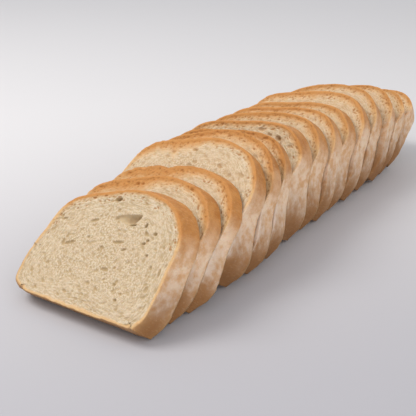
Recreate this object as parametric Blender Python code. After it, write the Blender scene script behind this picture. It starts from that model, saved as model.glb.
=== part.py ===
"""Sliced sourdough loaf.

A long tin-shaped loaf with a flat foot and a domed crown, cut crosswise into fifteen slices. The
slices still stand in their order, each leaning back on the next one, so together they keep the
shape of the loaf. Every slice is one solid: crumb and crust are one piece of bread.

Frame: metres, +Z up. X runs across the loaf, Y runs along it from the first slice to the last,
and the origin lies under the middle of the row, on the surface that the slices stand on.
"""

import math

import bmesh
import bpy
from mathutils import Matrix, Vector

MM = 0.001

# Half of the loaf's section at a cut, in millimetres: x across the loaf and z up from its foot.
# The points run from the right foot corner, up the right side, over the crown and down the left.
SECTION = (
    (46, 0), (49, 8), (52, 38), (51, 59), (40, 74), (18, 79.4),
    (-9, 74.2), (-33, 61.5), (-46.5, 41), (-53.8, 15), (-53, 4), (-48, 0),
)
SKIN_STEPS = 54          # points over the skin, from foot corner to foot corner
FOOT_STEPS = 6           # points along the flat foot, between its corners
CURL_CENTRE = (0, 30)    # the crown and the shoulder swell outwards from here
SHOULDER_ANGLE = 138     # degrees, the left shoulder as seen from the curl centre
SHOULDER_SPREAD = 25
CROWN_ANGLE = 80         # degrees, the top of the crown
CROWN_SPREAD = 30
BELLY_HEIGHT = 16        # the right side sags outwards most at this height, in millimetres
BELLY_SPREAD = 22

# The loaf at each of its cuts, first cut first: size against SECTION, then how far the left
# shoulder, the crown and the belly low on the right stand out beyond it, in millimetres.
CUTS = (
    (0.99, 4, 2.5, 0), (1.05, 4, 2.5, 1), (1.09, 6, 2, 3), (1.13, 4.5, 1.5, 6),
    (1.11, 4, 2.5, 7), (1.10, 2.5, -4, 7), (1.07, 2, -5, 6), (1.07, 2.5, -2.5, 5),
    (1.08, 2, -4.5, 5), (1.07, 3, -4, 4), (1.09, 3.5, -2.5, 4), (1.08, -2.5, -2, 3),
    (1.07, -1, -8, 2), (1.02, 0, -7.5, 1), (0.97, 0, -5.5, 0), (0.95, 0, -4, 0),
)

# Each slice as it was cut and laid, first slice first: thickness at the crown, and how much
# thicker the knife left the foot, in millimetres; lean back from upright and turn about the
# vertical, in degrees; and shift aside in millimetres.
SLICES = (
    (17, 0, 41, -1, 1), (14, 0, 44, -3, -3), (11, 0, 44, -7, -4), (15, 10, 34, -8, -3),
    (12.5, 4, 30, -7, -1), (10.5, 8, 22, -6, 0), (19.5, 0, 25, 0, -1), (17.5, 0, 31, -2, -2),
    (15.5, 3, 28.5, -2, 0), (16, 0, 34, -1, -1), (16.5, 4, 31, -1, 1.5), (19.5, 0, 31, 0.5, 2.5),
    (18.5, 4, 28, 0.5, 7), (15, 0, 39, -1, 8.5), (16, 0, 49, 0, 8.5),
)
CROWN_HEIGHT = 85        # where a slice's thickness at the crown is measured
LAYERS = 3               # rings of faces through a slice's thickness
TOUCH_GAP = 0.5 * MM     # left between a slice and the one that it leans on
FOOT_PRESS = 1.0 * MM    # how far the edge that a slice stands on is pressed flat

# Small faults of the crown that show on one slice: slice number, place across and up the cut
# face in millimetres, reach along the skin, and depth (a negative depth is a bump).
FAULTS = (
    (3, (-18, 84), 6, -1.5), (3, (-8, 82), 4, 1.8), (1, (44, 1), 5, 1.5),
)
# The one large air hole that opens on the first cut face: centre and half sizes in millimetres.
AIR_HOLE_CENTRE = (10, 61.5)
AIR_HOLE_SIZE = (9.5, 2.2, 3.2)
AIR_HOLE_TILT = 15       # degrees, the hole's long way climbs to the right

CRUMB_COLOUR = (0.80, 0.66, 0.45, 1.0)
CRUMB_ROUGHNESS = 0.85


def smooth_skin(knots, count):
    """Even points on a smooth curve through the knots, from the first to the last."""
    spans = [math.dist(a, b) for a, b in zip(knots, knots[1:])]
    slopes = [
        [(b[k] - a[k]) / span for k in (0, 1)]
        for a, b, span in zip(knots, knots[1:], spans)
    ]
    tangents = [slopes[0]]
    for before, after, s0, s1 in zip(spans, spans[1:], slopes, slopes[1:]):
        tangents.append([(s0[k] * after + s1[k] * before) / (before + after) for k in (0, 1)])
    tangents.append(slopes[-1])
    fine = []
    for i, span in enumerate(spans):
        for step in range(24):
            u = step / 24
            rise, fall = 3 * u**2 - 2 * u**3, 2 * u**3 - 3 * u**2 + 1
            lead, trail = u**3 - 2 * u**2 + u, u**3 - u**2
            fine.append(tuple(
                fall * knots[i][k] + rise * knots[i + 1][k]
                + span * (lead * tangents[i][k] + trail * tangents[i + 1][k])
                for k in (0, 1)
            ))
    fine.append(tuple(knots[-1]))
    lengths = [0.0]
    for a, b in zip(fine, fine[1:]):
        lengths.append(lengths[-1] + math.dist(a, b))
    even = []
    k = 0
    for step in range(count):
        target = lengths[-1] * step / (count - 1)
        while k < len(fine) - 2 and lengths[k + 1] < target:
            k += 1
        share = (target - lengths[k]) / (lengths[k + 1] - lengths[k])
        even.append(tuple(a + (b - a) * share for a, b in zip(fine[k], fine[k + 1])))
    return even


def bell(distance, spread):
    return math.exp(-(distance / spread) ** 2)


def loaf_outline(cut, faults):
    """The closed outline of the loaf at a cut, in metres, in the plane of the cut."""
    size, shoulder, crown, belly = cut
    skin = smooth_skin(SECTION, SKIN_STEPS)
    left, right = SECTION[-1], SECTION[0]
    foot = [
        (left[0] + (right[0] - left[0]) * k / (FOOT_STEPS + 1), 0.0)
        for k in range(1, FOOT_STEPS + 1)
    ]
    outline = []
    for x, z in skin + foot:
        dx, dz = x - CURL_CENTRE[0], z - CURL_CENTRE[1]
        reach = math.hypot(dx, dz)
        angle = math.degrees(math.atan2(dz, dx))
        swell = shoulder * bell(angle - SHOULDER_ANGLE, SHOULDER_SPREAD)
        swell += crown * bell(angle - CROWN_ANGLE, CROWN_SPREAD)
        scale = size * (1 + swell / reach)
        x, z = CURL_CENTRE[0] + dx * scale, CURL_CENTRE[1] * size + dz * scale
        if x > 0:
            x += belly * bell(z - BELLY_HEIGHT, BELLY_SPREAD) * min(x / right[0], 1)
        for place, spread, depth in faults:
            pull = depth * bell(math.dist((x, z), place), spread) / reach
            x, z = x - dx * pull, max(z - dz * pull, 0.0)
        outline.append((x * MM, z * MM))
    return outline


def slice_mesh(name, front, back):
    """A slice from its two cut faces: each is a closed row of points."""
    bm = bmesh.new()
    rings = []
    for layer in range(LAYERS + 1):
        ring = [bm.verts.new(f.lerp(b, layer / LAYERS)) for f, b in zip(front, back)]
        edges = [bm.edges.new((a, b)) for a, b in zip(ring, ring[1:] + ring[:1])]
        rings.append((ring, edges))
    for (_, lower), (_, upper) in zip(rings, rings[1:]):
        bmesh.ops.bridge_loops(bm, edges=lower + upper)
    for ring in (rings[0][0], rings[-1][0]):
        bmesh.ops.contextual_create(bm, geom=ring)
    bmesh.ops.recalc_face_normals(bm, faces=bm.faces)
    mesh = bpy.data.meshes.new(name)
    bm.to_mesh(mesh)
    bm.free()
    return mesh


def resting_pose(lean, turn):
    """Turn about the vertical after leaning back, so that the top goes towards +Y."""
    turned = Matrix.Rotation(math.radians(turn), 4, "Z")
    return turned @ Matrix.Rotation(-math.radians(lean), 4, "X")


def room_needed(near_face, near_across, far_face, far_across):
    """How far the far face must move along +Y to clear the near one, past either one's plane."""
    past_near = min((p - near_face[0]).dot(near_across) for p in far_face)
    past_far = min((far_face[0] - p).dot(far_across) for p in near_face)
    return min((TOUCH_GAP - past_near) / near_across.y, (TOUCH_GAP - past_far) / far_across.y)


def press_foot_flat(obj):
    """Cut away what reaches below the surface that the loaf stands on."""
    bm = bmesh.new()
    bm.from_mesh(obj.data)
    bmesh.ops.transform(bm, matrix=obj.matrix_basis, verts=bm.verts)
    bmesh.ops.bisect_plane(
        bm, geom=bm.verts[:] + bm.edges[:] + bm.faces[:], dist=1e-7,
        plane_co=(0, 0, 0), plane_no=(0, 0, -1), clear_outer=True,
    )
    rim = [edge for edge in bm.edges if edge.is_boundary]
    bmesh.ops.contextual_create(bm, geom=rim)
    bmesh.ops.recalc_face_normals(bm, faces=bm.faces)
    bmesh.ops.transform(bm, matrix=obj.matrix_basis.inverted(), verts=bm.verts)
    bm.to_mesh(obj.data)
    bm.free()


def crumb_material(name):
    material = bpy.data.materials.new(name)
    material.use_nodes = True
    shader = material.node_tree.nodes["Principled BSDF"]
    shader.inputs["Base Color"].default_value = CRUMB_COLOUR
    shader.inputs["Roughness"].default_value = CRUMB_ROUGHNESS
    shader.inputs["Metallic"].default_value = 0.0
    return material


def cut_air_hole(obj, thickness):
    """Hollow out the large air hole on a slice's front face with a squashed ball."""
    bm = bmesh.new()
    bmesh.ops.create_icosphere(bm, subdivisions=2, radius=1.0)
    half = Matrix.Diagonal((*(s * MM for s in AIR_HOLE_SIZE), 1.0))
    tilt = Matrix.Rotation(-math.radians(AIR_HOLE_TILT), 4, "Y")
    place = Matrix.Translation((AIR_HOLE_CENTRE[0] * MM, -thickness, AIR_HOLE_CENTRE[1] * MM))
    bmesh.ops.transform(bm, matrix=place @ tilt @ half, verts=bm.verts)
    mesh = bpy.data.meshes.new("air_hole")
    bm.to_mesh(mesh)
    bm.free()
    cutter = bpy.data.objects.new("air_hole", mesh)
    cutter.hide_render = True
    cutter.display_type = "WIRE"
    cutter.matrix_basis = obj.matrix_basis
    hollow = obj.modifiers.new("air_hole", "BOOLEAN")
    hollow.operation = "DIFFERENCE"
    hollow.object = cutter
    return cutter


for old in list(bpy.data.objects):
    bpy.data.objects.remove(old, do_unlink=True)

loaf = bpy.data.collections.new("sliced_loaf")
cutters = bpy.data.collections.new("cutters")
bpy.context.scene.collection.children.link(loaf)
bpy.context.scene.collection.children.link(cutters)

pieces = []
along = 0.0
previous = None
for number, (thickness, foot_extra, lean, turn, aside) in enumerate(SLICES, start=1):
    name = f"slice_{number:02d}"
    faults = [row[1:] for row in FAULTS if row[0] == number]
    taper = foot_extra / CROWN_HEIGHT
    foot_depth = (thickness + foot_extra) * MM
    front = [
        Vector((x, taper * z - foot_depth, z)) for x, z in loaf_outline(CUTS[number - 1], faults)
    ]
    back = [Vector((x, 0, z)) for x, z in loaf_outline(CUTS[number], faults)]

    # The slice stands where its front face just clears the slice that leans on it.
    pose = resting_pose(lean, turn)
    front_across = (pose.to_3x3() @ Vector((0, 1, -taper))).normalized()
    back_across = pose.to_3x3() @ Vector((0, 1, 0))
    placed = Matrix.Translation((aside * MM, along, -FOOT_PRESS)) @ pose
    if previous:
        along += room_needed(*previous, [placed @ p for p in front], front_across)
        placed = Matrix.Translation((aside * MM, along, -FOOT_PRESS)) @ pose
    previous = ([placed @ p for p in back], back_across)

    obj = bpy.data.objects.new(name, slice_mesh(name, front, back))
    loaf.objects.link(obj)
    obj.location = placed.to_translation()
    obj.rotation_euler = pose.to_euler()
    obj.data.materials.append(crumb_material(f"crumb_{number:02d}"))
    pieces.append((obj, foot_depth))

# Bring the origin under the middle of the row, then press each foot and cut the air hole.
corners = []
for obj, _ in pieces:
    corners += [obj.matrix_basis @ v.co for v in obj.data.vertices]
middle = [
    (min(c[axis] for c in corners) + max(c[axis] for c in corners)) / 2
    for axis in (0, 1)
]
for obj, _ in pieces:
    obj.location.x -= middle[0]
    obj.location.y -= middle[1]
    press_foot_flat(obj)
    obj.data.shade_smooth()
    obj.data.set_sharp_from_angle(angle=math.radians(35))

first_slice, first_depth = pieces[0]
cutters.objects.link(cut_air_hole(first_slice, first_depth))
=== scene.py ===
import math

import bmesh
import bpy
import numpy as np
from mathutils import Matrix, Vector


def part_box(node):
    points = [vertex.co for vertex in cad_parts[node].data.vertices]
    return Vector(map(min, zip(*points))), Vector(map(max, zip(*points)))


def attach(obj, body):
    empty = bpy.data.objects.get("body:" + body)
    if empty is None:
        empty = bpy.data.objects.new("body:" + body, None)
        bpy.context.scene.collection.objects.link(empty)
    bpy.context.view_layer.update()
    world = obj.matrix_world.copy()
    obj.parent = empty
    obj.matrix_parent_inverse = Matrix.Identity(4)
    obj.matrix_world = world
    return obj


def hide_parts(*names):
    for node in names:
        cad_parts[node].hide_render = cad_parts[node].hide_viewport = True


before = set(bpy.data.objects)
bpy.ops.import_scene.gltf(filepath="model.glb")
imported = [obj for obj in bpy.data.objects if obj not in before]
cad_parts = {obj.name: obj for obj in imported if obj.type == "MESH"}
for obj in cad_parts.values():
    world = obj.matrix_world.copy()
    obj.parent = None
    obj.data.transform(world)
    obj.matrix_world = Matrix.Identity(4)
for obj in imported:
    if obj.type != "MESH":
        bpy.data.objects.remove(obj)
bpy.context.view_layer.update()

MM = 0.001

# ---------------------------------------------------------------------------------------------
# The table, the light and the camera. The loaf stands on a plain pale table under two large
# soft lamps, and the camera looks along the row from the right of the first slice.
# ---------------------------------------------------------------------------------------------
CAMERA_PLACE = (0.2937, -0.5052, 0.2488)
CAMERA_TURN = 33.4          # degrees about the vertical
CAMERA_DROP = 22.9          # degrees below the level
CAMERA_LENS = 71.1          # millimetres on a sensor 36 mm wide

camera = bpy.data.objects.new("camera", bpy.data.cameras.new("camera"))
camera.data.lens = CAMERA_LENS
camera.data.sensor_width = 36
camera.data.clip_start = 0.01
camera.location = CAMERA_PLACE
camera.rotation_euler = (math.radians(90 - CAMERA_DROP), 0, math.radians(CAMERA_TURN))
bpy.context.scene.collection.objects.link(camera)
bpy.context.scene.camera = camera
bpy.context.scene.view_settings.view_transform = "Standard"


def soft_lamp(name, place, size, power, colour):
    """A square lamp of soft light that looks at the middle of the loaf."""
    lamp = bpy.data.lights.new(name, "AREA")
    lamp.size = size
    lamp.energy = power
    lamp.color = colour
    stand = bpy.data.objects.new(name, lamp)
    stand.location = place
    stand.rotation_euler = (Vector((0, 0, 0.03)) - Vector(place)).to_track_quat("-Z", "Y").to_euler()
    bpy.context.scene.collection.objects.link(stand)


soft_lamp("key_lamp", (-0.7, -0.5, 1.15), 0.7, 12.5, (1.0, 0.97, 0.93))
soft_lamp("side_lamp", (1.1, -0.8, 0.8), 1.0, 7.5, (1.0, 0.96, 0.92))

world = bpy.data.worlds.new("studio")
world.use_nodes = True
world.node_tree.nodes["Background"].inputs["Color"].default_value = (0.95, 0.96, 1.0, 1)
world.node_tree.nodes["Background"].inputs["Strength"].default_value = 0.70
bpy.context.scene.world = world


class Strand:
    """A shader socket that takes part in sums: each operator adds the Math node that does it."""

    def __init__(self, tree, socket):
        self.tree = tree
        self.socket = socket

    def work(self, operation, first, second):
        node = self.tree.nodes.new("ShaderNodeMath")
        node.operation = operation
        for slot, value in zip(node.inputs, (first, second)):
            if isinstance(value, Strand):
                self.tree.links.new(value.socket, slot)
            else:
                slot.default_value = value
        return Strand(self.tree, node.outputs[0])

    def __add__(self, other):
        return self.work("ADD", self, other)

    def __radd__(self, other):
        return self.work("ADD", other, self)

    def __sub__(self, other):
        return self.work("SUBTRACT", self, other)

    def __rsub__(self, other):
        return self.work("SUBTRACT", other, self)

    def __mul__(self, other):
        return self.work("MULTIPLY", self, other)

    def __rmul__(self, other):
        return self.work("MULTIPLY", other, self)


class Finish:
    """A material under way: it holds the node tree and adds nodes to it."""

    def __init__(self, name):
        self.material = bpy.data.materials.new(name)
        self.material.use_nodes = True
        self.tree = self.material.node_tree
        self.surface = self.tree.nodes["Principled BSDF"]

    def add(self, kind, sockets=None, outlet=0, **settings):
        """A node of one kind: its settings first, then the values or links of its sockets."""
        node = self.tree.nodes.new("ShaderNode" + kind)
        for key, value in settings.items():
            setattr(node, key, value)
        for key, value in (sockets or {}).items():
            self.feed(node.inputs[key], value)
        return Strand(self.tree, node.outputs[outlet])

    def feed(self, slot, value):
        if isinstance(value, Strand):
            self.tree.links.new(value.socket, slot)
        else:
            slot.default_value = value

    def set(self, **values):
        for key, value in values.items():
            self.feed(self.surface.inputs[key.replace("_", " ")], value)

    def number(self, name):
        """A number that the mesh carries at each of its points."""
        return self.add("Attribute", outlet=2, attribute_name=name)

    def place(self, name):
        """A place that the mesh carries at each of its points."""
        return self.add("Attribute", outlet=1, attribute_name=name)

    def blend(self, share, first, second):
        """A colour between two colours."""
        return self.add("Mix", {0: share, 6: (*first, 1) if isinstance(first, tuple) else first,
                                7: (*second, 1) if isinstance(second, tuple) else second},
                        2, data_type="RGBA")

    def ease(self, value, low, high, start=0.0, end=1.0):
        """A number that goes smoothly from start to end as the value goes from low to high."""
        return self.add(
            "MapRange", {0: value, 1: low, 2: high, 3: start, 4: end},
            interpolation_type="SMOOTHSTEP",
        )

    def cloud(self, place, scale, detail=3.0, rough=0.55):
        """Soft noise about 0.5."""
        return self.add(
            "TexNoise", {"Vector": place, "Scale": scale, "Detail": detail, "Roughness": rough}
        )

    def stretch(self, place, sizes):
        """A place with each of its axes scaled by its own size."""
        return self.add("VectorMath", {0: place, 1: sizes}, operation="MULTIPLY")


TABLE_REACH = 4.0           # metres, half of its side
table_bm = bmesh.new()
bmesh.ops.create_grid(table_bm, x_segments=8, y_segments=8, size=TABLE_REACH)
table_mesh = bpy.data.meshes.new("table")
table_bm.to_mesh(table_mesh)
table_bm.free()
table = bpy.data.objects.new("table", table_mesh)
bpy.context.scene.collection.objects.link(table)

# The table is paler towards the back left and a little greyer towards the front right: partly its own
# lavender tone, and partly painted shade where less light falls.
table_paint = Finish("table_paint")
table_place = table_paint.add("TexCoord", outlet=3)
towards_front = table_paint.add(
    "VectorMath", {0: table_place, 1: (0.6, -0.6, 0)}, 1, operation="DOT_PRODUCT"
)
table_paint.set(
    Base_Color=table_paint.blend(
        table_paint.ease(towards_front + 0.06 * table_paint.cloud(table_place, 1.5), -0.25, 0.35),
        (0.68, 0.67, 0.675), (0.40, 0.395, 0.425),
    ),
    Roughness=0.7,
)
table_mesh.materials.append(table_paint.material)

# ---------------------------------------------------------------------------------------------
# The loaf before it is cut. Dough proved in a long tin gives it a flat foot and nearly upright
# sides; in the oven its crown rose and leaned over to the right, and its left side sank.
# ---------------------------------------------------------------------------------------------
SECTION = np.array((
    (46, 0), (49, 8), (52, 38), (51, 59), (40, 74), (18, 79.4),
    (-9, 74.2), (-33, 61.5), (-46.5, 41), (-53.8, 15), (-53, 4), (-48, 0),
), float)
CURL_CENTRE = np.array((0.0, 30.0))
SHOULDER_ANGLE, SHOULDER_SPREAD = 138, 25
CROWN_ANGLE, CROWN_SPREAD = 80, 30
BELLY_HEIGHT, BELLY_SPREAD = 16, 22
SKIN_STEPS = 1400           # points over the skin, from foot corner to foot corner

# Size against SECTION, then how far the left shoulder, the crown and the belly low on the right
# stand out, in millimetres.
CUTS = (
    (0.99, 4, 2.5, 0), (1.05, 4, 2.5, 1), (1.09, 6, 2, 3), (1.13, 4.5, 1.5, 6),
    (1.11, 4, 2.5, 7), (1.10, 2.5, -4, 7), (1.07, 2, -5, 6), (1.07, 2.5, -2.5, 5),
    (1.08, 2, -4.5, 5), (1.07, 3, -4, 4), (1.09, 3.5, -2.5, 4), (1.08, -2.5, -2, 3),
    (1.07, -1, -8, 2), (1.02, 0, -7.5, 1), (0.97, 0, -5.5, 0), (0.95, 0, -4, 0),
)
# Slice number, place on the cut face, reach and depth of each fault of the crown.
FAULTS = (
    (3, (-18, 84), 6, -1.5), (3, (-8, 82), 4, 1.8), (1, (44, 1), 5, 1.5),
)


def smooth_skin(knots, count):
    """Even points on a smooth curve through the knots, from the first to the last."""
    spans = np.hypot(*np.diff(knots, axis=0).T)[:, None]
    slopes = np.diff(knots, axis=0) / spans
    tangents = np.vstack([
        slopes[:1],
        (slopes[:-1] * spans[1:] + slopes[1:] * spans[:-1]) / (spans[:-1] + spans[1:]),
        slopes[-1:],
    ])
    u = np.linspace(0, 1, 160, endpoint=False)[:, None]
    curve = [
        (2 * u**3 - 3 * u**2 + 1) * knots[i] + (3 * u**2 - 2 * u**3) * knots[i + 1]
        + spans[i] * ((u**3 - 2 * u**2 + u) * tangents[i] + (u**3 - u**2) * tangents[i + 1])
        for i in range(len(spans))
    ]
    curve = np.vstack(curve + [knots[-1:]])
    length = np.r_[0, np.cumsum(np.hypot(*np.diff(curve, axis=0).T))]
    even = np.linspace(0, length[-1], count)
    return np.column_stack([np.interp(even, length, curve[:, k]) for k in (0, 1)])


def bell(distance, spread):
    """1 at no distance, falling off to 0 a few spreads away."""
    return np.exp(-(distance / spread) ** 2)


def loaf_outline(cut, faults):
    """The loaf's skin at a cut, in millimetres in the plane of the cut, from foot to foot."""
    size, shoulder, crown, belly = cut
    out = smooth_skin(SECTION, SKIN_STEPS) - CURL_CENTRE
    reach = np.hypot(*out.T)
    angle = np.degrees(np.arctan2(out[:, 1], out[:, 0]))
    swell = shoulder * bell(angle - SHOULDER_ANGLE, SHOULDER_SPREAD)
    swell += crown * bell(angle - CROWN_ANGLE, CROWN_SPREAD)
    skin = (CURL_CENTRE + out * (1 + swell / reach)[:, None]) * size
    on_right = np.clip(skin[:, 0] / SECTION[0, 0], 0, 1)
    skin[:, 0] += belly * bell(skin[:, 1] - BELLY_HEIGHT, BELLY_SPREAD) * on_right
    for place, spread, depth in faults:
        pull = depth * bell(np.hypot(*(skin - place).T), spread) / reach
        skin = skin - out * pull[:, None]
        skin[:, 1] = np.maximum(skin[:, 1], 0.0)
    return skin


# ---------------------------------------------------------------------------------------------
# The slices. The loaf was cut crosswise with a bread knife, and the slices stand in their order,
# each leaning back on the next. A cut opens the bubbles of the crumb, and tears the crust a bit.
# ---------------------------------------------------------------------------------------------
# Thickness at the crown and what the foot has more, in millimetres; lean back and turn in degrees.
SLICES = (
    (17, 0, 41, -1), (14, 0, 44, -3), (11, 0, 44, -7), (15, 10, 34, -8), (12.5, 4, 30, -7),
    (10.5, 8, 22, -6), (19.5, 0, 25, 0), (17.5, 0, 31, -2), (15.5, 3, 28.5, -2), (16, 0, 34, -1),
    (16.5, 4, 31, -1), (19.5, 0, 31, 0.5), (18.5, 4, 28, 0.5), (15, 0, 39, -1), (16, 0, 49, 0),
)
CROWN_HEIGHT = 85           # where a slice's thickness at the crown is measured
FOOT_PRESS = 1.0            # how far the edge that a slice stands on is pressed flat
HEART = np.array((-2.0, 36.0))   # the rings of the crumb run round this place
CLEARANCE = 0.2             # the skin lies this far inside the plain solid
EDGE_ROUND = 0.8            # the skin draws in this much at a cut
CORNER_ROUND = 1.8          # and this much more at the corners of the foot
CRUMB_SINK = 0.35           # the crumb dries and sinks a little inside its crust
TORN_SLICES = (2, 3, 4)     # the knife tore the crust at the top left of these
FLOURED_SLICES = (2, 3, 4, 5, 6)   # with flour on their first edge
# How far the toasted rim reaches into each slice's first cut face at the crown, in millimetres.
TOAST_REACH = (3.1, 5.4, 5.8, 3.8, 8.0, 8.5, 4.5, 7.0, 6.0, 6.5, 6.0, 5.5, 6.5, 5.5, 5.5)
# How far the crumb of each slice has browned as a whole, from 0 to 1.
TINT = (0.0, 0.35, 0.35, 0.2, 0.8, 0.8, 0.3, 0.6, 0.5, 0.6, 0.6, 0.5, 0.6, 0.5, 0.5)
# Where one thing goes over into another, in millimetres up the loaf.
SHOULDER = 40, 62           # the sides into the shoulders
TOUCHING_BELOW = 36, 58     # edges that touch into edges that stand free
GOLD_ABOVE = 43, 67         # the pale crust into the gold
# The brown low down is partly a baked foot and partly painted shade, where a tray would shade the
# loaf.
FOOT_BROWN_AND_SHADE_BELOW = 7, 46    # the brown of the foot into the pale crust
TOAST_ABOVE = 36, 72        # the narrow toasted rim into the wide one
FLOUR_ABOVE, FLOUR_BELOW = (8, 26), (30, 54)
# Low on the right the slices press together.
PRESSED = 12, 40            # more and more between these places across the loaf,
SEAM = 0.15                 # with this much left between two slices,
LARGEST_FILL = 15.0         # and one swells forwards by this much at most
NOISE_STEP = 40.0           # sets the slices apart where noise is looked up
SHORT_OF_A_CUT = 0.0005     # share of the thickness that still counts as on a cut
FIRST_SEED = 500
# How many bubbles the knife opened in a cut face, their least and largest half width, how far
# they are drawn out at most, and how deep they are against their half width.
BUBBLE_KINDS = (
    (4200, 0.36, 0.75, 2.6, 0.6), (1500, 0.65, 1.15, 2.8, 0.6), (60, 0.9, 1.4, 2.4, 0.9),
)
PITS_PER_REACH = 100        # brown pits in the toasted rim for each millimetre of its reach
# Faces across, up and through a slice: most in the first, and fewest in those far behind it.
FIRST_MESH, NEAR_MESH, FAR_MESH = (200, 178, 26), (150, 130, 22), (116, 100, 18)
NEAR_SLICES = (2, 3, 4, 5, 6, 7, 15)


def lattice(cells, seed):
    """A number from -1 to 1 for each whole cell, always the same one."""
    x, y, z = (cells.astype(np.int64) & 0xFFFF).T
    h = (x * 73856093) ^ (y * 19349663) ^ (z * 83492791) ^ (seed * 2654435761)
    h = (h ^ (h >> 13)) * 1274126177 & 0xFFFFFFFF
    h = (h ^ (h >> 16)) * 668265263 & 0xFFFFFFFF
    return (h ^ (h >> 15)) % 65536 / 32767.5 - 1


def lumps(points, size, seed):
    """Smooth lumps of about one size, from -1 to 1."""
    cell = points / size
    base = np.floor(cell)
    part = cell - base
    part = part * part * (3 - 2 * part)
    total = np.zeros(len(points))
    for corner in np.ndindex(2, 2, 2):
        weight = np.prod(np.where(corner, part, 1 - part), axis=1)
        total += weight * lattice(base + corner, seed)
    return total


def rough_lumps(points, size, seed, octaves=3):
    """Lumps with smaller lumps on them."""
    return sum(lumps(points, size / 2**k, seed + k) / 2**k for k in range(octaves)) / 1.5


def rise(value, low, high):
    """0 below low, 1 above high, and smooth between them."""
    t = np.clip((value - low) / (high - low), 0, 1)
    return t * t * (3 - 2 * t)


def ring_turn(x, z):
    """The direction of the crumb's rings at a place, in radians."""
    return np.arctan2((x - HEART[0]) * 0.75, -(z - HEART[1]) / 0.75)


def bubbles(rng, count, small, large, stretch, deep):
    """Random bubbles of the crumb: x, z, half length, half width, turn and depth of each."""
    x = rng.uniform(-62, 62, count)
    z = rng.uniform(0, 96, count)
    half = small + (large - small) * rng.uniform(0, 1, count) ** 2
    long = half * rng.uniform(1.0, stretch, count)
    turn = ring_turn(x, z) + rng.normal(0, 0.4, count)
    return np.column_stack([x, z, long, half, turn, half * deep * rng.uniform(0.6, 1.2, count)])


def rim_bubbles(rng, count, outline):
    """Long flat bubbles next to the crust of the crown, drawn out along it."""
    along = np.gradient(outline, axis=0)
    along /= np.hypot(*along.T)[:, None]
    chosen = rng.integers(0, len(outline), count)
    chosen = chosen[outline[chosen, 1] > rng.uniform(34, 52, count)]
    inward = np.column_stack([-along[:, 1], along[:, 0]])[chosen]
    far_in = 0.7 + 7.5 * rng.uniform(0, 1, len(chosen)) ** 1.2
    place = outline[chosen] + inward * far_in[:, None]
    turn = np.arctan2(along[chosen, 1], along[chosen, 0]) + rng.normal(0, 0.22, len(chosen))
    half = rng.uniform(0.22, 0.5, len(chosen))
    long = half * rng.uniform(1.2, 3.0, len(chosen))
    return np.column_stack([place, long, half, turn, half * rng.uniform(0.9, 1.8, len(chosen))])


def open_bubbles(x, z, holes):
    """How deep each point of a cut face lies in the bubbles that the knife opened."""
    order = np.argsort(x)
    xs, zs = x[order], z[order]
    depth = np.zeros(len(x))
    for cx, cz, long, wide, turn, deep in holes:
        lo, hi = np.searchsorted(xs, (cx - long, cx + long))
        dx, dz = xs[lo:hi] - cx, zs[lo:hi] - cz
        along = dx * math.cos(turn) + dz * math.sin(turn)
        across = dz * math.cos(turn) - dx * math.sin(turn)
        inside = 1 - (along / long) ** 2 - (across / wide) ** 2
        depth[lo:hi] = np.maximum(depth[lo:hi], deep * np.clip(inside, 0, 1) ** 0.75)
    back = np.empty(len(x))
    back[order] = depth
    return back


def large_air_hole(x, z):
    """The one large hole of the first cut face: pointed at its left end and blunt at its right."""
    share = np.clip((x - 0.8) / 17.6, 0, 1)
    roof = 58.8 + 6.9 * share ** 0.45
    floor = 58.6 - 0.5 * share + 6.4 * share ** 9
    half = (roof - floor) / 2 + 1e-6
    inside = np.clip(1 - ((z - (roof + floor) / 2) / half) ** 2, 0, 1)
    inside = np.where((share > 0) & (share < 1), inside, 0)
    return 3.0 * inside ** 0.5 * (0.4 + 0.6 * share)


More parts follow.
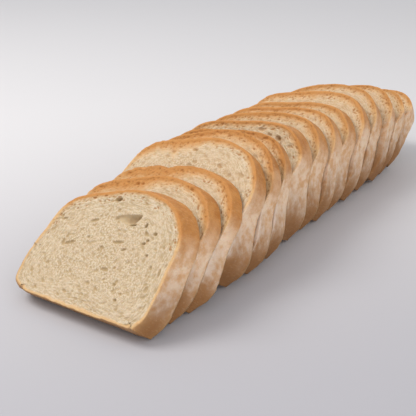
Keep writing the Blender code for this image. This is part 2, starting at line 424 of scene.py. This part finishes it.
# The holes that stand out on the slices' first cut faces: slice number, x, z, half length, half
# width, turn in degrees and depth.
HOLES = (
    (1, 14.6, 58.7, 2.6, 1.0, 10, 4.0), (1, -2.1, 71.0, 2.8, 1.3, 18, 3.2),
    (1, 23.7, 60.3, 1.6, 0.9, 80, 3.0), (1, 31.7, 57.0, 1.3, 1.2, 45, 1.8),
    (1, 29.8, 75.2, 1.6, 0.6, -20, 1.2), (1, 17.7, 72.9, 2.2, 0.6, -28, 1.2),
    (1, 9.8, 46.2, 4.8, 1.0, 15, 1.3), (1, 26.6, 49.8, 1.5, 0.8, 34, 2.0),
    (1, 28.4, 52.1, 1.2, 0.8, 45, 2.0), (1, 15.2, 43.0, 2.5, 0.8, 34, 1.2),
    (1, 32.0, 43.8, 1.0, 0.8, 15, 1.8), (1, -12.8, 54.7, 3.5, 1.1, 23, 1.2),
    (1, -23.6, 37.4, 4.9, 1.2, 26, 1.3), (1, -34.9, 50.5, 2.9, 0.9, 23, 1.2),
    (1, 18.9, 22.2, 1.2, 1.1, 0, 1.5), (1, 23.7, 14.0, 1.2, 1.1, 0, 1.4),
    (1, 40.3, 25.4, 2.5, 1.5, 81, 1.1), (1, 44.3, 36.5, 3.4, 0.9, 95, 1.2),
    (1, 40.7, 51.2, 1.5, 0.7, 105, 1.1), (1, 36.5, 2.0, 4.0, 1.6, 20, 1.6),
    (2, 31.5, 81.0, 2.6, 1.6, -25, 2.6), (2, -8.6, 74.6, 1.8, 1.0, 10, 2.0),
    (2, -5.0, 75.5, 1.3, 1.0, 20, 1.8),
    (4, -0.6, 78.0, 2.6, 0.9, 5, 2.2), (4, 24.0, 72.0, 2.4, 1.4, -15, 1.5),
    (4, 34.0, 68.0, 2.0, 1.4, -30, 1.4), (4, -17.0, 72.7, 2.0, 0.9, 15, 1.6),
    (4, 3.0, 70.0, 2.2, 1.0, 0, 1.4),
    (5, 42.5, 73.0, 1.6, 1.0, -40, 1.8), (5, 40.0, 76.6, 1.5, 0.8, -40, 1.6),
    (7, 18.0, 73.4, 2.6, 1.2, -10, 1.8), (7, 25.7, 71.0, 2.2, 1.2, -15, 1.8),
    (7, 33.0, 69.5, 2.8, 1.9, -25, 3.0), (7, 15.0, 80.0, 4.0, 0.7, 0, 1.6),
    (10, 54.0, 68.0, 1.3, 1.1, -50, 2.2),
)


def unit_block(across, up, layers):
    """A block of small faces, 2 wide and 2 high and 1 deep: two grids joined by a wall of rings."""
    bm = bmesh.new()
    bmesh.ops.create_grid(
        bm, x_segments=across, y_segments=up, size=1.0, matrix=Matrix.Rotation(math.pi / 2, 4, "X")
    )
    far = bmesh.ops.duplicate(bm, geom=bm.verts[:] + bm.edges[:] + bm.faces[:])["geom"]
    far = [part for part in far if isinstance(part, bmesh.types.BMVert)]
    bmesh.ops.translate(bm, verts=far, vec=(0, 1, 0))
    wall = bmesh.ops.bridge_loops(bm, edges=[edge for edge in bm.edges if edge.is_boundary])
    bmesh.ops.subdivide_edges(bm, edges=wall["edges"], cuts=layers - 1, use_grid_fill=True)
    bmesh.ops.recalc_face_normals(bm, faces=bm.faces)
    return bm


def wall_place(u, v, across, up):
    """Where the way out from the middle meets the wall: share of the skin, and of the foot."""
    total = across + 2 * up
    skin = np.where(
        np.abs(u) > np.abs(v),
        np.where(u > 0, (v + 1) / 2 * up, up + across + (1 - v) / 2 * up),
        up + (1 - u) / 2 * across,
    ) / total
    foot = (v < 0) & (np.abs(v) >= np.abs(u))
    return skin, foot, (u + 1) / 2


def near_corner(foot_share):
    """1 at either corner of the foot, and 0 away from them."""
    return bell((1 - np.abs(2 * foot_share - 1)) * 50, 5)


def on_outline(outline, skin_share, on_foot, foot_share):
    """The place on the outline, and the way inwards there."""
    steps = np.linspace(0, 1, len(outline))
    along = np.gradient(outline, axis=0)
    along /= np.hypot(*along.T)[:, None]
    inward = np.column_stack([-along[:, 1], along[:, 0]])
    place = np.column_stack([np.interp(skin_share, steps, outline[:, k]) for k in (0, 1)])
    inward = np.column_stack([np.interp(skin_share, steps, inward[:, k]) for k in (0, 1)])
    left, right = outline[-1], outline[0]
    flat = left + (right - left) * foot_share[:, None]
    place = np.where(on_foot[:, None], flat, place)
    to_side = np.where(foot_share > 0.5, -1.0, 1.0) * near_corner(foot_share)
    inward = np.where(on_foot[:, None], np.column_stack([to_side, np.ones(len(to_side))]), inward)
    return place, inward


def stand_slice(number):
    """A slice's two outlines, and how it leans back, turns and stands where the plain solid is."""
    thickness, foot_extra, lean, turn = SLICES[number - 1]
    faults = [row[1:] for row in FAULTS if row[0] == number]
    front = loaf_outline(CUTS[number - 1], faults)
    back = loaf_outline(CUTS[number], faults)
    pose = Matrix.Rotation(math.radians(turn), 3, "Z") @ Matrix.Rotation(-math.radians(lean), 3, "X")
    pose = np.array(pose)
    low, high = (np.array(corner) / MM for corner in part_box(f"slice_{number:02d}"))
    front_depth = thickness + foot_extra * (1 - front[:, 1] / CROWN_HEIGHT)
    bare = np.vstack([
        np.column_stack([front[:, 0], -front_depth, front[:, 1]]),
        np.column_stack([back[:, 0], np.zeros(len(back)), back[:, 1]]),
    ]) @ pose.T
    shift = (low + high - bare.min(0) - bare.max(0)) / 2
    shift[2] = -FOOT_PRESS
    return front, back, pose, shift


def room_ahead(number, x, y, z, pose, shift):
    """How far each point may move forwards before it meets the slice in front."""
    if number == 1:
        return np.zeros(len(x))
    _, _, pose_ahead, shift_ahead = stand_slice(number - 1)
    across = pose_ahead[:, 1]
    past = (np.column_stack([x, y, z]) @ pose.T + shift - shift_ahead) @ across
    return np.clip((past - SEAM) / (pose[:, 1] @ across), 0, LARGEST_FILL)


def cut_slice(number, across, up, layers):
    """One slice as a finished mesh in its place."""
    thickness, foot_extra = SLICES[number - 1][:2]
    front, back, pose, shift = stand_slice(number)

    bm = unit_block(across, up, layers)
    mesh = bpy.data.meshes.new(f"bread_{number:02d}")
    bm.to_mesh(mesh)
    bm.free()
    block = np.empty(len(mesh.vertices) * 3)
    mesh.vertices.foreach_get("co", block)
    u, share, v = block.reshape(-1, 3).T

    # Rings from the heart of the crumb out to the skin.
    ring = np.maximum(np.abs(u), np.abs(v))
    safe = np.maximum(ring, 1e-9)
    skin_share, on_foot, foot_share = wall_place(u / safe, v / safe, across, up)
    front_place, front_inward = on_outline(front, skin_share, on_foot, foot_share)
    back_place, back_inward = on_outline(back, skin_share, on_foot, foot_share)
    rim = front_place + (back_place - front_place) * share[:, None]
    inward = front_inward + (back_inward - front_inward) * share[:, None]
    flat = HEART + (rim - HEART) * ring[:, None]
    from_rim = np.hypot(*(rim - flat).T)
    height_in_front = HEART[1] + (front_place[:, 1] - HEART[1]) * ring
    thick = thickness + foot_extra * (1 - height_in_front / CROWN_HEIGHT)

    # Low on the right the slices press on each other, and each swells forwards to the one ahead.
    in_front = HEART + (front_place - HEART) * ring[:, None]
    pressed = rise(front_place[:, 0], *PRESSED) * (1 - rise(front_place[:, 1], *SHOULDER))
    crusty = pressed * (1 - rise(from_rim, 4, 10)) * (share < 0.5) * (number > 1)
    pressed *= bell(np.hypot(*(front_place - in_front).T), 16)
    thick = thick + pressed * room_ahead(number, in_front[:, 0], -thick, in_front[:, 1], pose, shift)
    depth = thick * share
    x, z = flat.T

    # Where each point lies: on the skin or on a cut, how far from a cut, and how high up the loaf.
    on_front, on_back = share <= SHORT_OF_A_CUT, share >= 1 - SHORT_OF_A_CUT
    on_skin = ~on_front & ~on_back
    edge = np.minimum(depth, thick - depth)
    level = rim[:, 1] / CUTS[number - 1][0]
    high = rise(level, *SHOULDER)

    # The skin: wide soft waves, wrinkles along the loaf low down, nibbled edges high up, and edges
    # that stay sharp where slices touch. Each slice has its own place in the noise.
    rim_own = np.column_stack([rim[:, 0], depth + NOISE_STEP * number, rim[:, 1]])
    waves = rough_lumps(rim_own, 22, 11) * 0.5 + 0.5
    wrinkle = lumps(rim_own * (1, 0.35, 1), 3.2, 17) * 0.5 + 0.5
    crumple = rough_lumps(rim_own, 4.0, 23) * 0.5 + 0.5
    torn = 1 + 2.8 * (number in TORN_SLICES) * bell(rim[:, 0] + 22, 22) * high
    torn += 1.6 * on_foot
    nibble = np.clip(rough_lumps(rim_own, 2.8, 29, 2) - 0.05, 0, 1) * np.exp(-edge / (1.1 * torn))
    inset = CLEARANCE + (1.5 - 1.0 * high) * waves + (0.35 - 0.2 * high) * wrinkle + 0.3 * crumple
    touching = rise(rim[:, 0], *PRESSED) * (1 - rise(rim[:, 1], *TOUCHING_BELOW))
    if number in (1, len(SLICES)):
        touching *= (share > 0.5) == (number == 1)
    inset += EDGE_ROUND * (1 - 0.85 * touching) * np.exp(-edge / 1.3)
    inset += CORNER_ROUND * bell(rim[:, 1], 7) * (np.abs(rim[:, 0]) > 20) * np.exp(-edge / 1.3)
    inset *= np.where(on_foot, 0.35 + 0.65 * near_corner(foot_share), 1.0)
    inset += (0.3 + 0.7 * high) * torn * nibble
    flat = flat + inward * (inset * np.exp(-from_rim / 5.0))[:, None]
    x, z = flat.T

    # The cut faces: opened bubbles, a sunk crumb and the knife's slight waves, less of them where
    # slices press together.
    rng = np.random.default_rng(FIRST_SEED + number)
    cut_depth = np.zeros(len(x))
    pore = np.zeros(len(x))
    pit = np.zeros(len(x))
    hollow = np.zeros(len(x))
    for face, outline, is_back in ((on_front, front, False), (on_back, back, True)):
        fx, fz, fr = x[face], z[face], from_rim[face]
        away = NOISE_STEP * (number + is_back / 2)
        own_face = np.column_stack([fx, np.full(len(fx), away), fz])
        holes = [bubbles(rng, *kind) for kind in BUBBLE_KINDS]
        if not is_back:
            named = [(*row[1:5], math.radians(row[5]), row[6]) for row in HOLES if row[0] == number]
            holes += [np.array(named).reshape(-1, 6)]
        crown_toast = TOAST_REACH[min(number, len(SLICES) - 1) if is_back else number - 1]
        opened = open_bubbles(fx, fz, np.vstack(holes))
        hole = np.zeros(len(fx))
        if number == 1 and not is_back:
            hole = large_air_hole(fx, fz) * (1 + 0.3 * rough_lumps(own_face, 2.2, 43))
            opened = np.where(hole > 0.1, np.maximum(hole, opened * (opened > 2.4)), opened)
        opened *= (0.25 + 0.75 * rise(fr, 0.6, 3.0)) * (1 - crusty[face])
        pits = open_bubbles(fx, fz, rim_bubbles(rng, int(PITS_PER_REACH * crown_toast), outline))
        pits *= rise(fr, 0.3, 1.5)
        sink = CRUMB_SINK * rise(fr, 1.0, 3.5) + 0.5 * (rough_lumps(own_face, 14, 31) * 0.5 + 0.5)
        sink += 0.42 * (rough_lumps(own_face, 2.3, 37, 2) * 0.5 + 0.5)
        sink *= 1 - 0.9 * touching[face] * bell(fr, 12)
        cut_depth[face] = np.maximum(opened, pits) + sink
        pore[face] = opened * (hole <= 0.1)
        hollow[face] = hole
        pit[face] = pits
    y = depth - thick + np.where(share < 0.5, cut_depth, -cut_depth)

    # The slice leans back on its foot, turns, and goes where the plain solid stands.
    place = np.column_stack([x, y, z]) @ pose.T + shift
    place[:, 2] = np.maximum(place[:, 2], 0.0)
    mesh.vertices.foreach_set("co", (place * MM).ravel())
    mesh.update()

    # What the oven and the flour did to the skin: brown on the crown and the shoulders, pale and dusty
    # below them, brown again at the foot, where the brown is partly baked crust and partly painted
    # shade low down.
    patchy = rough_lumps(rim_own, 14, 41)
    bake = rise(level + 5 * patchy, *GOLD_ABOVE)
    bake *= 1 - 0.1 * rise(number + depth / thick, 6, 12)
    # Brown low down: partly the baked foot, partly painted shade.
    foot_brown_and_shade = 1 - rise(level + 7 * patchy, *FOOT_BROWN_AND_SHADE_BELOW)
    foot_brown_and_shade = np.where(on_foot, 0.9, foot_brown_and_shade)
    toast_reach = 2.0 + (TOAST_REACH[number - 1] - 2.0) * rise(level, *TOAST_ABOVE)
    toast_reach *= 1 + 0.35 * rough_lumps(rim_own, 7, 47)
    toast_reach *= 1 + 1.7 * (number in TORN_SLICES) * bell(rim[:, 0] + 20, 26) * high
    dusty = rise(level + 6 * patchy, *FLOUR_ABOVE) * (rim[:, 0] > 0)
    dusty *= 1 - rise(level + 5 * patchy, *FLOUR_BELOW)
    floured = number in FLOURED_SLICES

    carried = {
        "pore": pore,
        "pit": pit,
        "hollow": hollow,
        "edge": np.exp(-edge / 2.5) * (1.0 if number == 1 else 0.2 + 0.8 * bake),
        "from_rim": np.where(on_skin, 0.0, from_rim),
        "toast": from_rim / toast_reach,
        "skin": np.maximum(on_skin, crusty),
        "bake": bake,
        "tint": np.full(len(x), TINT[number - 1]),
        "foot_brown_and_shade": foot_brown_and_shade,
        "flour": floured * dusty * 0.7 * np.exp(-depth / 1.7) + 0.42 * dusty,
    }
    for key, values in carried.items():
        mesh.attributes.new(key, "FLOAT", "POINT").data.foreach_set("value", values.astype(np.float32))
    around = np.arctan2(z - HEART[1], x - HEART[0])
    for key, values in (
        ("crumb_place", np.column_stack([x, depth + NOISE_STEP * number, z])),
        ("ring_place", np.column_stack([
            25 * np.cos(around), 25 * np.sin(around),
            np.where(on_skin, 0, from_rim) + 60 * number + np.where(share > 0.5, 20, 0),
        ])),
    ):
        data = mesh.attributes.new(key, "FLOAT_VECTOR", "POINT").data
        data.foreach_set("vector", values.astype(np.float32).ravel())
    mesh.shade_smooth()
    return mesh


# The bread. One dough makes all the slices: a cream crumb, toasted next to the crust, inside a
# crust that the oven turned gold on the crown, and that stayed pale where it lay against the tin.
bread = Finish("sourdough")
crumb_place, ring_place = bread.place("crumb_place"), bread.place("ring_place")
pore, pit, from_rim = bread.number("pore"), bread.number("pit"), bread.number("from_rim")
toast, skin, flour = bread.number("toast"), bread.number("skin"), bread.number("flour")
bake, foot_brown_and_shade, tint = bread.number("bake"), bread.number("foot_brown_and_shade"), bread.number("tint")
hollow, edge = bread.number("hollow"), bread.number("edge")

# The crumb: cream on the walls between its bubbles, in rings. Inside the opened bubbles it is painted
# browner, and dark brown where they are deepest: painted shade in the hollows.
grain = bread.cloud(crumb_place, 0.9, 4.0, 0.6)
strands = bread.cloud(bread.stretch(ring_place, (0.6, 0.6, 1.7)), 0.7, 3.0, 0.6)
near_rim = bread.ease(from_rim, 12.0, 24.0, 1.0, 0.0)
grain = grain + near_rim * 0.6 * (strands - grain)
drift = bread.cloud(crumb_place, 0.07, 2.0)
crumb = bread.blend(bread.ease(grain, 0.36, 0.62), (0.425, 0.30, 0.162), (0.65, 0.54, 0.39))
crumb = bread.blend(bread.ease(drift, 0.35, 0.65, 0.0, 0.35), crumb, (0.60, 0.47, 0.32))
crumb = bread.blend(tint * 0.45, crumb, (0.72, 0.48, 0.26))
# Painted shade inside the opened bubbles, a little browner where the slice has browned.
pore_shade = bread.blend(bread.ease(tint, 0.0, 0.35), (0.415, 0.29, 0.145), (0.45, 0.275, 0.14))
crumb = bread.blend(bread.ease(pore, 0.08, 0.8) * (0.8 - 0.4 * tint), crumb, pore_shade)
crumb = bread.blend(bread.ease(pore, 1.5, 3.2, 0.0, 0.75), crumb, (0.25, 0.14, 0.05))

# The large hole is painted a little warmer and darker than the crumb, and dark brown where it is
# deepest: painted shade inside the hole.
hollow_shade = bread.blend(
    bread.ease(hollow + 1.6 * (grain - 0.5), 1.1, 2.9), (0.50, 0.37, 0.21), (0.27, 0.165, 0.07)
)
crumb = bread.blend(bread.ease(hollow, 0.0, 0.5, 0.0, 0.8), crumb, hollow_shade)

# The toasted rim of a cut face: gold next to the crust, fading into the crumb, with brown pits.
toast_noise = bread.cloud(bread.stretch(ring_place, (0.8, 0.8, 1.3)), 0.8, 5.0, 0.66)
rim_gold = bread.blend(bread.ease(bake, 0.45, 1.0), (0.65, 0.42, 0.20), (0.52, 0.235, 0.062))
toasted = bread.blend(bread.ease(toast, 0.3, 1.2), rim_gold, (0.665, 0.40, 0.17))
toasted = bread.blend(bread.ease(toast_noise, 0.34, 0.5, 0.4, 0.0), toasted, (0.40, 0.18, 0.05))
toasting = bread.ease(toast + 0.9 * (toast_noise - 0.5), 0.25, 1.6, 1.0, 0.0)
face_colour = bread.blend(toasting * 0.95, crumb, toasted)
face_colour = bread.blend(bread.ease(pit, 0.05, 0.45, 0.0, 0.75), face_colour, (0.36, 0.15, 0.038))

# The crust: floury and pale on the low sides, gold to brown on the shoulders and the crown, and brown
# again at the foot, partly baked crust and partly painted shade low down.
loaf_place = bread.stretch(bread.add("TexCoord", outlet=3), (1 / MM, 1 / MM, 1 / MM))
mottle = bread.cloud(bread.stretch(loaf_place, (1.0, 0.8, 1.0)), 0.13, 5.0, 0.62)
dust = bread.cloud(loaf_place, 0.22, 4.0, 0.58)
streaks = bread.cloud(bread.stretch(crumb_place, (1.0, 0.25, 1.0)), 0.9, 3.0, 0.6)
pale = bread.blend(
    bread.ease(mottle + 0.4 * (dust - 0.5), 0.32, 0.64), (0.655, 0.375, 0.185), (0.82, 0.615, 0.435)
)
gold = bread.blend(
    bread.ease(mottle + 0.35 * (streaks - 0.5), 0.3, 0.7), (0.45, 0.172, 0.034), (0.59, 0.262, 0.068)
)
specks = bread.cloud(crumb_place, 1.6, 2.0)
crust = bread.blend(bake, pale, gold)
# Brown at the foot: partly baked crust, partly painted shade.
crust = bread.blend(foot_brown_and_shade, crust, (0.29, 0.132, 0.045))
crust = bread.blend(edge * (1 - flour) * 0.4, crust, rim_gold)
crust = bread.blend(bread.ease(streaks, 0.55, 0.7, 0.0, 0.16), crust, (0.66, 0.45, 0.27))
crust = bread.blend(bread.ease(specks, 0.62, 0.72, 0.0, 0.35), crust, (0.30, 0.13, 0.04))
dusted = bread.ease(flour + 1.3 * (dust - 0.5), 0.15, 1.1, 0.0, 0.7)
crust = bread.blend(dusted, crust, (0.74, 0.62, 0.52))

# The relief that is finer than the mesh: the pores' walls in the crumb, and blisters on the crust.
fine = bread.cloud(crumb_place, 1.9, 5.0, 0.65)
blisters = bread.cloud(crumb_place, 0.8, 4.0, 0.6) * 0.7
blisters += bread.cloud(loaf_place, 0.3, 3.0, 0.6) * 1.6
relief = (1 - skin) * (fine * 0.6 + grain * 0.5) + skin * (blisters + streaks * 0.2)
bump = bread.add("Bump", {"Height": relief, "Distance": 0.0006, "Strength": 0.65})
bread.set(
    Base_Color=bread.blend(skin, face_colour, crust),
    Roughness=0.85 - 0.32 * (skin * bake),
    Normal=bump,
    Specular_IOR_Level=0.35,
    Subsurface_Weight=0.12,
    Subsurface_Radius=(0.9, 0.5, 0.25),
    Subsurface_Scale=0.003,
)

for number in range(1, len(SLICES) + 1):
    fineness = FIRST_MESH if number == 1 else NEAR_MESH if number in NEAR_SLICES else FAR_MESH
    piece = bpy.data.objects.new(f"bread_{number:02d}", cut_slice(number, *fineness))
    bpy.context.scene.collection.objects.link(piece)
    piece.data.materials.append(bread.material)
    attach(piece, "root")
    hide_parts(f"slice_{number:02d}")
